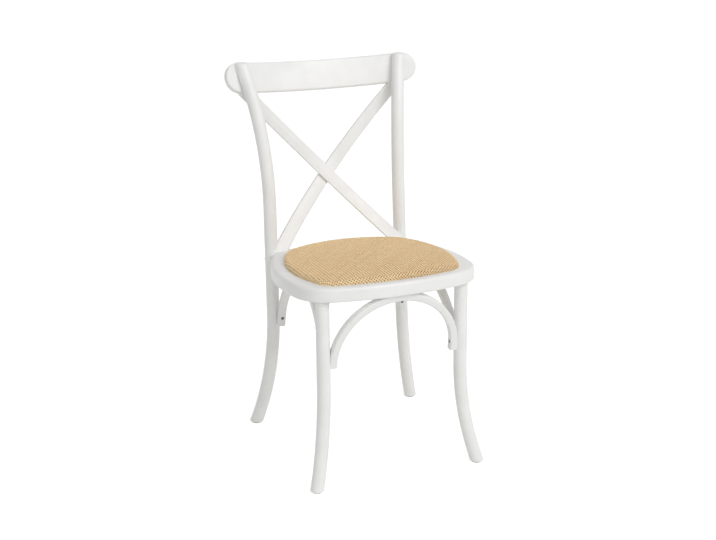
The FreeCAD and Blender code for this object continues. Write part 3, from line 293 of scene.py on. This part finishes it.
def weave_tree(material):
    """Tree of flat strands laid side by side, waved over and under and folded down round the pad's edge."""
    tree = bpy.data.node_groups.new("woven_strands", "GeometryNodeTree")
    make = functools.partial(add, tree)
    face = tree.interface
    face.new_socket("Geometry", in_out="INPUT", socket_type="NodeSocketGeometry")
    lengths = {
        "Pitch": 5.2, "Strand width": 4.3, "Strand thickness": 1.3, "Wave": STRAND_WAVE, "Reach": 600,
        "Edge radius": PAD_EDGE, "Fold length": 18.5, "Dome top": PAD_TOP, "Dome middle": PAD_MIDDLE_Y,
        "Lift": -0.2, "Dome radius": 1000,
    }
    for name, value in lengths.items():
        face.new_socket(name, in_out="INPUT", socket_type="NodeSocketFloat").default_value = value * MM
    face.new_socket("Turn", in_out="INPUT", socket_type="NodeSocketFloat").default_value = math.radians(45)
    for name, value in (("Strands", 117), ("Seed", 7)):
        face.new_socket(name, in_out="INPUT", socket_type="NodeSocketInt").default_value = value
    face.new_socket("Geometry", in_out="OUTPUT", socket_type="NodeSocketGeometry")
    given = make("NodeGroupInput").outputs
    pitch = given["Pitch"]

    # strands side by side on a flat plane, centred on the pad
    spread = make(MATH, "MULTIPLY", make(MATH, "SUBTRACT", given["Strands"], 1.0), pitch)
    row = make("GeometryNodeMeshLine", Count=given["Strands"], Offset=make(XYZ, None, 0.0, pitch),
               Start_Location=make(XYZ, None, 0.0, make(MATH, "MULTIPLY", spread, -0.5)))
    half_reach = make(MATH, "MULTIPLY", given["Reach"], 0.5)
    line = make("GeometryNodeCurvePrimitiveLine", End=make(XYZ, None, half_reach),
                Start=make(XYZ, None, make(MATH, "MULTIPLY", half_reach, -1.0)))
    fine = make("GeometryNodeResampleCurve", {"mode": "LENGTH"}, Curve=line,
                Length=make(MATH, "MULTIPLY", pitch, 0.5))
    laid = make("GeometryNodeInstanceOnPoints", Points=row, Instance=fine)
    real = make("GeometryNodeRealizeInstances", Geometry=laid)
    position = make("GeometryNodeInputPosition")
    stored = make("GeometryNodeStoreNamedAttribute", {"data_type": "FLOAT_VECTOR", "domain": "POINT"},
                  Geometry=real, Name="strand_place", Value=position)
    across = make("ShaderNodeSeparateXYZ", Vector=position).outputs["Y"]
    number = make(MATH, "ROUND", make(MATH, "DIVIDE", across, pitch))
    chance = make("FunctionNodeRandomValue", {"data_type": "FLOAT"}, ID=number, Seed=given["Seed"])
    stored = make("GeometryNodeStoreNamedAttribute", {"data_type": "FLOAT", "domain": "POINT"},
                  Geometry=stored, Name="strand_tone", Value=chance.outputs[1])
    middle = make(XYZ, None, 0.0, given["Dome middle"])
    turned = make("GeometryNodeTransform", Geometry=stored, Translation=middle,
                  Rotation=make(XYZ, None, 0.0, 0.0, given["Turn"]))

    # nearest place on the pad's flat top and how far the strand has run past it
    near = make("GeometryNodeProximity", {"target_element": "FACES"}, Geometry=given["Geometry"]).outputs
    past = near["Distance"]
    beyond = make("FunctionNodeCompare", {"data_type": "FLOAT", "operation": "GREATER_THAN"},
                  past, given["Fold length"])
    trimmed = make("GeometryNodeDeleteGeometry", {"domain": "POINT"}, Geometry=turned, Selection=beyond)

    # a quarter turn round the pad's edge, then straight down
    radius = given["Edge radius"]
    quarter = math.pi / 2
    angle = make(MATH, "MINIMUM", make(MATH, "DIVIDE", past, radius), quarter)
    sine = make(MATH, "SINE", angle)
    cosine = make(MATH, "COSINE", angle)
    outward = make(VECTOR, "NORMALIZE", make(VECTOR, "SUBTRACT", position, near["Position"]))
    run = make(VECTOR, "SCALE", outward, Scale=make(MATH, "MULTIPLY", radius, sine))
    straight = make(MATH, "SUBTRACT", past, make(MATH, "MULTIPLY", radius, quarter))
    bent = make(MATH, "MULTIPLY", radius, make(MATH, "SUBTRACT", 1.0, cosine))
    drop = make(MATH, "ADD", bent, make(MATH, "MAXIMUM", straight, 0.0))

    # height of the dome over that place
    ball = given["Dome radius"]
    off = make(VECTOR, "SUBTRACT", near["Position"], middle)
    flat = make(VECTOR, "LENGTH", off).outputs["Value"]
    height = make(MATH, "SQRT", make(MATH, "SUBTRACT", make(MATH, "MULTIPLY", ball, ball),
                                     make(MATH, "MULTIPLY", flat, flat)))
    height = make(MATH, "ADD", make(MATH, "SUBTRACT", height, ball), given["Dome top"])
    level = make(XYZ, None, 0.0, 0.0, make(MATH, "SUBTRACT", height, drop))
    place = make(VECTOR, "ADD", make(VECTOR, "ADD", near["Position"], run), level)

    # wave over and under, out of the surface
    upward = make(XYZ, None, 0.0, 0.0, cosine)
    normal = make(VECTOR, "ADD", make(VECTOR, "SCALE", outward, Scale=sine), upward)
    own = make("GeometryNodeInputNamedAttribute", {"data_type": "FLOAT_VECTOR"}, Name="strand_place")
    grid = make("ShaderNodeSeparateXYZ", Vector=own).outputs
    cells = make(MATH, "DIVIDE", make(MATH, "ADD", grid["X"], grid["Y"]), pitch)
    phase = make(MATH, "MULTIPLY", cells, math.pi)
    swing = make(MATH, "MULTIPLY", make(MATH, "COSINE", phase), given["Wave"])
    # crest value for painted shade and light: 0 in a strand's dip, 1 on its crest
    painted_crest_light = make(MATH, "ADD", make(MATH, "DIVIDE", swing, 2 * STRAND_WAVE * MM), 0.5)
    trimmed = make("GeometryNodeStoreNamedAttribute", {"data_type": "FLOAT", "domain": "POINT"},
                   Geometry=trimmed, Name="strand_painted_crest_light", Value=painted_crest_light)
    bedded = make("GeometryNodeSetCurveNormal", {"mode": "FREE"}, Curve=trimmed, Normal=normal)
    rise = make(VECTOR, "SCALE", normal, Scale=make(MATH, "ADD", swing, given["Lift"]))
    waved = make("GeometryNodeSetPosition", Geometry=bedded, Position=make(VECTOR, "ADD", place, rise))

    # flat oval section
    oval = make("GeometryNodeCurvePrimitiveCircle", Resolution=6, Radius=0.5)
    oval = make("GeometryNodeTransform", Geometry=oval, Rotation=(0, 0, math.pi / 6),
                Scale=make(XYZ, None, given["Strand thickness"], given["Strand width"], 1.0))
    solid = make("GeometryNodeCurveToMesh", Curve=waved, Profile_Curve=oval, Fill_Caps=True)
    smooth = make("GeometryNodeSetShadeSmooth", {"domain": "FACE"}, Geometry=solid, Shade_Smooth=True)
    plain = make("GeometryNodeRealizeInstances", Geometry=smooth)
    painted = make("GeometryNodeSetMaterial", Geometry=plain, Material=material)
    make("NodeGroupOutput", Geometry=painted)
    return tree


def socket_key(tree, name):
    """Identifier of a tree's named input."""
    return next(s.identifier for s in tree.interface.items_tree if s.in_out == "INPUT" and s.name == name)


def bake(name, base, tree, matrix, **sizes):
    """Runs a tree on a base mesh and keeps the result as one plain mesh in the chair's frame."""
    holder = bpy.data.objects.new(name + "_holder", base)
    bpy.context.scene.collection.objects.link(holder)
    modifier = holder.modifiers.new("weave", "NODES")
    modifier.node_group = tree
    for label, value in sizes.items():
        modifier[socket_key(tree, label.replace("_", " "))] = value
    evaluated = holder.evaluated_get(bpy.context.evaluated_depsgraph_get())
    mesh = bpy.data.meshes.new_from_object(evaluated, preserve_all_data_layers=True,
                                           depsgraph=bpy.context.evaluated_depsgraph_get())
    holder.modifiers.remove(modifier)
    bpy.data.objects.remove(holder)
    mesh.transform(matrix)
    mesh.name = name
    piece = bpy.data.objects.new(name, mesh)
    bpy.context.scene.collection.objects.link(piece)
    return piece


def woven_cover():
    """Two sets of rattan strands at right angles, woven over the pad."""
    outline = pad_outline(PAD_EDGE)
    base = bpy.data.meshes.new("pad_flat_top")
    base.from_pydata([(p.x, p.y, 0.0) for p in outline], [], [range(len(outline))])
    tree = weave_tree(rattan())
    ball = (PAD_HALF_DEPTH ** 2 + PAD_CROWN ** 2) / (2 * PAD_CROWN) * MM
    place = seat_matrix()
    for name, turn, wave, seed in (
        ("rattan_strands_one_way", 45, STRAND_WAVE, 7),
        ("rattan_strands_other_way", 135, -STRAND_WAVE, 19),
    ):
        piece = bake(name, base.copy(), tree, place, Turn=math.radians(turn), Wave=wave * MM, Seed=seed,
                     Dome_radius=ball)
        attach(piece, "root")
        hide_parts("rattan_cover")


def pad_lining():
    """Foam pad in its lining cloth, under the strands."""
    mesh = NODES["seat_padding"].data.copy()
    mesh.name = "lined_pad"
    work = bmesh.new()
    work.from_mesh(mesh)
    bmesh.ops.remove_doubles(work, verts=work.verts, dist=SAME_POINT * MM)
    work.to_mesh(mesh)
    work.free()
    mesh.materials.clear()
    mesh.materials.append(lining())
    piece = bpy.data.objects.new("lined_pad", mesh)
    bpy.context.scene.collection.objects.link(piece)
    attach(piece, "root")
    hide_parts("seat_padding")


# Studio


def studio():
    """White floor and background, one large soft lamp from the upper right and a weak one from the left."""
    material, tree, shader = finish_material("pale_studio_floor")
    put(tree, shader, Base_Color=linear("#F4F4F2"), Roughness=0.9, Specular_IOR_Level=0.1)
    path = add(tree, "ShaderNodeLightPath").outputs
    seen = add(tree, MATH, "MAXIMUM", path["Is Camera Ray"], path["Is Glossy Ray"])
    glow = add(tree, MATH, "MULTIPLY", seen, FLOOR_GLOW)
    put(tree, shader, Emission_Color=(1, 1, 1, 1), Emission_Strength=glow)
    mesh = bpy.data.meshes.new("studio_floor")
    reach = 30.0
    mesh.from_pydata([(-reach, -reach, 0), (reach, -reach, 0), (reach, reach, 0), (-reach, reach, 0)], [],
                     [(0, 1, 2, 3)])
    mesh.materials.append(material)
    floor = bpy.data.objects.new("studio_floor", mesh)
    bpy.context.scene.collection.objects.link(floor)

    world = bpy.data.worlds.new("studio_air")
    bpy.context.scene.world = world
    world.use_nodes = True
    tree = world.node_tree
    tree.nodes.clear()
    path = add(tree, "ShaderNodeLightPath").outputs
    seen = add(tree, MATH, "MAXIMUM", path["Is Camera Ray"], path["Is Glossy Ray"])
    seen = add(tree, MATH, "MAXIMUM", seen, path["Is Transmission Ray"])
    strength = add(tree, RANGE, None, seen, 0.0, 1.0, AIR_LIGHT, 1.0)
    light = add(tree, "ShaderNodeBackground", Color=(1, 1, 1, 1), Strength=strength)
    add(tree, "ShaderNodeOutputWorld", Surface=light)

    for name, place, target, size, power in (
        ("key_lamp", (1.9, -5.2, 5.0), (0, 0, 0.45), 4.2, 205.0),
        ("fill_lamp", (-2.6, -2.2, 2.4), (0, 0, 0.45), 2.0, 5.0),
    ):
        lamp = bpy.data.lights.new(name, "AREA")
        lamp.shape = "DISK"
        lamp.size = size
        lamp.energy = power
        holder = bpy.data.objects.new(name, lamp)
        bpy.context.scene.collection.objects.link(holder)
        holder.location = place
        holder.rotation_mode = "QUATERNION"
        holder.rotation_quaternion = (Vector(target) - Vector(place)).to_track_quat("-Z", "Y")


def camera():
    """Camera at the photograph's place."""
    data = bpy.data.cameras.new("photo_camera")
    data.sensor_width = 36.0
    data.lens = 65.11
    data.clip_start = 0.05
    data.clip_end = 100.0
    right = Vector((0.92294, -0.38489, 0.00581))
    up = Vector((0.11906, 0.29980, 0.94654))
    back = Vector((-0.36606, -0.87291, 0.32252))
    place = Vector((-1.11418, -2.60378 + FEET_MIDDLE_Y * MM, 1.39898))
    turn = Matrix((right, up, back)).transposed().to_4x4()
    holder = bpy.data.objects.new("photo_camera", data)
    bpy.context.scene.collection.objects.link(holder)
    holder.matrix_world = Matrix.Translation(place) @ turn
    bpy.context.scene.camera = holder


def main():
    painted = [
        "front_leg_left", "front_leg_right", "rear_post_left", "rear_post_right", "seat_frame", "top_rail",
        "cross_slat_front", "cross_slat_rear", "front_brace", "side_brace_left", "side_brace_right",
    ]
    dress(painted, white_lacquer())
    dress(["seat_board"], plywood())
    dress(["seat_padding", "rattan_cover"], lining())
    dress(["post_bolts"], enamel())
    dress([name for name in NODES if name.endswith(("_screws", "_screw"))],
          metal("darkened_screw_steel", "#6A6864", 0.42))
    dress(["glide_nails", "post_bolt_washers", "post_barrel_nuts"],
          metal("zinc_plated_steel", "#B9B7B0", 0.36))
    dress([name for name in NODES if name.startswith("foot_glide")], nylon())
    shading = soft_shading()
    for node in NODES.values():
        modifier = node.modifiers.new("smooth", "NODES")
        modifier.node_group = shading
        modifier[socket_key(shading, "Edge angle")] = math.radians(REAL_EDGE)
    pad_lining()
    woven_cover()
    studio()
    camera()
    bpy.context.scene.view_settings.view_transform = "Standard"


main()
